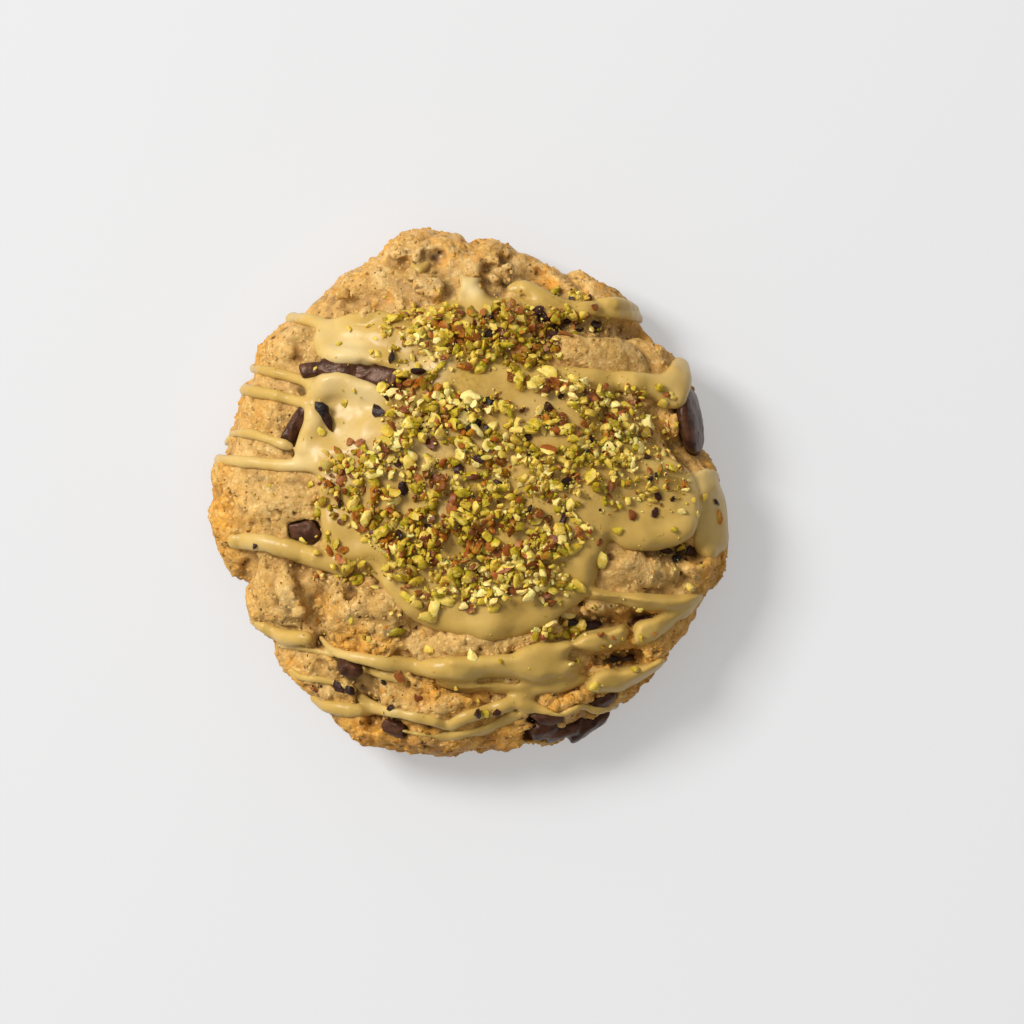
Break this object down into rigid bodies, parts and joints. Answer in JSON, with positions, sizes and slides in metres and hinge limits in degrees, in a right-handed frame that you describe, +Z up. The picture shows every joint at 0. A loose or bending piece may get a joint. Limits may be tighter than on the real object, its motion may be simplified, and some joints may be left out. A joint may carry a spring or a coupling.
{
  "type": "pistachio cookie",
  "caption": "Thick, lumpy baked cookie with a pool and drizzles of pistachio cream, chopped pistachios on top and dark chocolate pieces pressed into the dough",
  "frame": {"origin": "centre of the box in plan, on the flat base the cookie stands on", "axes": "+Z up through the cookie's thickness, +X to the right and +Y to the top of the picture, which looks straight down"},
  "size_m": [0.0954, 0.0968, 0.0299],
  "materials": {
    "dough": "matte, sandy baked crust, browner at the rim and base",
    "cream": "smooth, softly glossy pistachio cream",
    "chocolate": "semi-gloss dark chocolate"
  },
  "bodies": {
    "root": {"cookie_dough": "dough", "pistachio_cream": "cream", "chocolate_right_edge": "chocolate", "chocolate_lower_right": "chocolate", "chocolate_lower_right_chip": "chocolate", "chocolate_upper_left_tip": "chocolate", "chocolate_upper_left": "chocolate", "chocolate_upper_left_end": "chocolate", "chocolate_left": "chocolate", "chocolate_left_middle": "chocolate", "chocolate_lower_left": "chocolate", "chocolate_bottom": "chocolate"}
  },
  "joints": []
}
